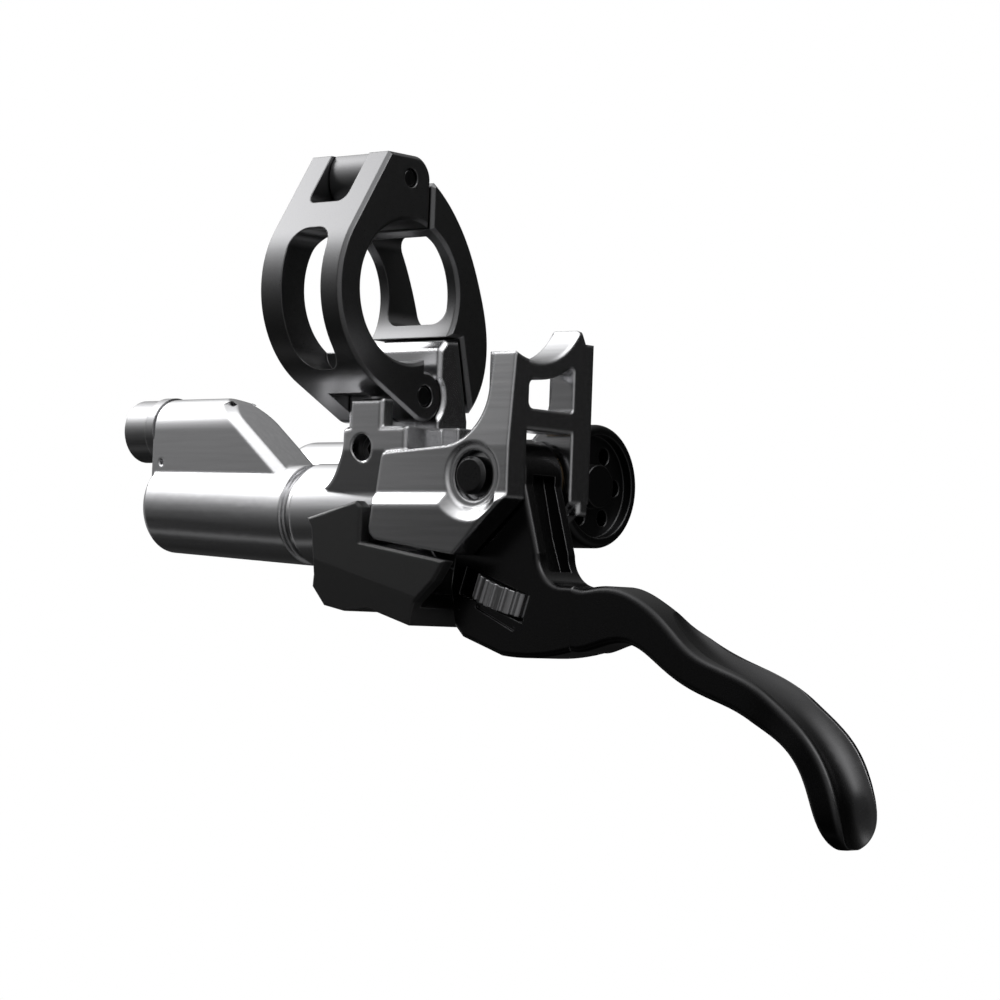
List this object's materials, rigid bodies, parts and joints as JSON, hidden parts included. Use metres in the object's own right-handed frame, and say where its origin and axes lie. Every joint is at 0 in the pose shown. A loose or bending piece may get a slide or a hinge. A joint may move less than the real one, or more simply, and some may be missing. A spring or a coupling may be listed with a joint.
{
  "type": "bicycle brake lever",
  "caption": "Hydraulic bicycle brake lever with a hinged bar clamp, a silver master cylinder, a black curved lever blade, a knurled reach wheel and a contact dial.",
  "frame": {"origin": "handlebar axis at the middle of the clamp's width", "axes": "+X along the handlebar towards its end, +Z from the lever towards the bar, +Y away from the side that shows the pivot pin"},
  "size_m": [0.1453, 0.0497, 0.1019],
  "materials": {
    "body_alloy": "brushed silver",
    "band_alloy": "satin black anodised",
    "blade_alloy": "satin black",
    "cover_plastic": "matte black",
    "nut_alloy": "dark grey anodised",
    "wheel_alloy": "grey knurled",
    "dial_alloy": "satin black",
    "bright_steel": "bright",
    "black_steel": "blackened",
    "bronze": "plain bearing",
    "piston_alloy": "hard anodised",
    "seal_rubber": "black rubber"
  },
  "bodies": {
    "cylinder": {"lever_body": "body_alloy", "lower_cover": "cover_plastic", "hose_nut": "nut_alloy", "bleed_screw": "black_steel", "pivot_pin": "black_steel", "pivot_clip": "bright_steel", "clamp_front_band": "band_alloy", "clamp_hinge_pin": "black_steel", "clamp_hook_pin": "black_steel", "gland_bush": "piston_alloy", "rod_seal": "seal_rubber", "gland_clip": "bright_steel", "return_spring": "bright_steel", "dial_bush": "piston_alloy", "dial_seal": "seal_rubber", "tank_bladder": "seal_rubber"},
    "lever": {"lever_blade": "blade_alloy", "pivot_bushes": "bronze", "rod_pin": "bright_steel", "reach_screw": "bright_steel"},
    "plunger": {"piston": "piston_alloy", "piston_seals": "seal_rubber", "pull_rod": "bright_steel"},
    "reach_adjuster": {"reach_wheel": "wheel_alloy"},
    "contact_adjuster": {"contact_dial": "dial_alloy", "dial_shaft": "bright_steel"},
    "rear_clamp": {"clamp_rear_band": "band_alloy", "clamp_bolt": "bright_steel", "clamp_washer": "bright_steel"}
  },
  "joints": [
    {"name": "lever_pivot", "type": "hinge", "parent": "cylinder", "child": "lever", "pos_m": [0.0275, 0.0036, -0.029], "axis": [0, -1, 0], "range_deg": [0, 20], "stiffness_Nm_per_rad": 0.6, "springref_deg": -11.46},
    {"name": "piston_stroke", "type": "slide", "parent": "cylinder", "child": "plunger", "axis": [1, 0, 0], "range_m": [0, 0.0021], "deforming": ["return_spring"]},
    {"name": "reach_turn", "type": "hinge", "parent": "lever", "child": "reach_adjuster", "pos_m": [0.0287, 0.0036, -0.0467], "axis": [0.319, 0, 0.9478], "range_deg": [-180, 180]},
    {"name": "contact_turn", "type": "hinge", "parent": "cylinder", "child": "contact_adjuster", "pos_m": [0.0256, 0.0237, -0.029], "axis": [1, 0, 0], "range_deg": [-135, 135]},
    {"name": "clamp_hinge", "type": "hinge", "parent": "cylinder", "child": "rear_clamp", "pos_m": [0, -0.0009, 0.0176], "axis": [1, 0, 0], "range_deg": [0, 95]}
  ],
  "couplings": [
    {"joint": "piston_stroke", "follows": "lever_pivot", "m_per_rad": 0.0057}
  ]
}
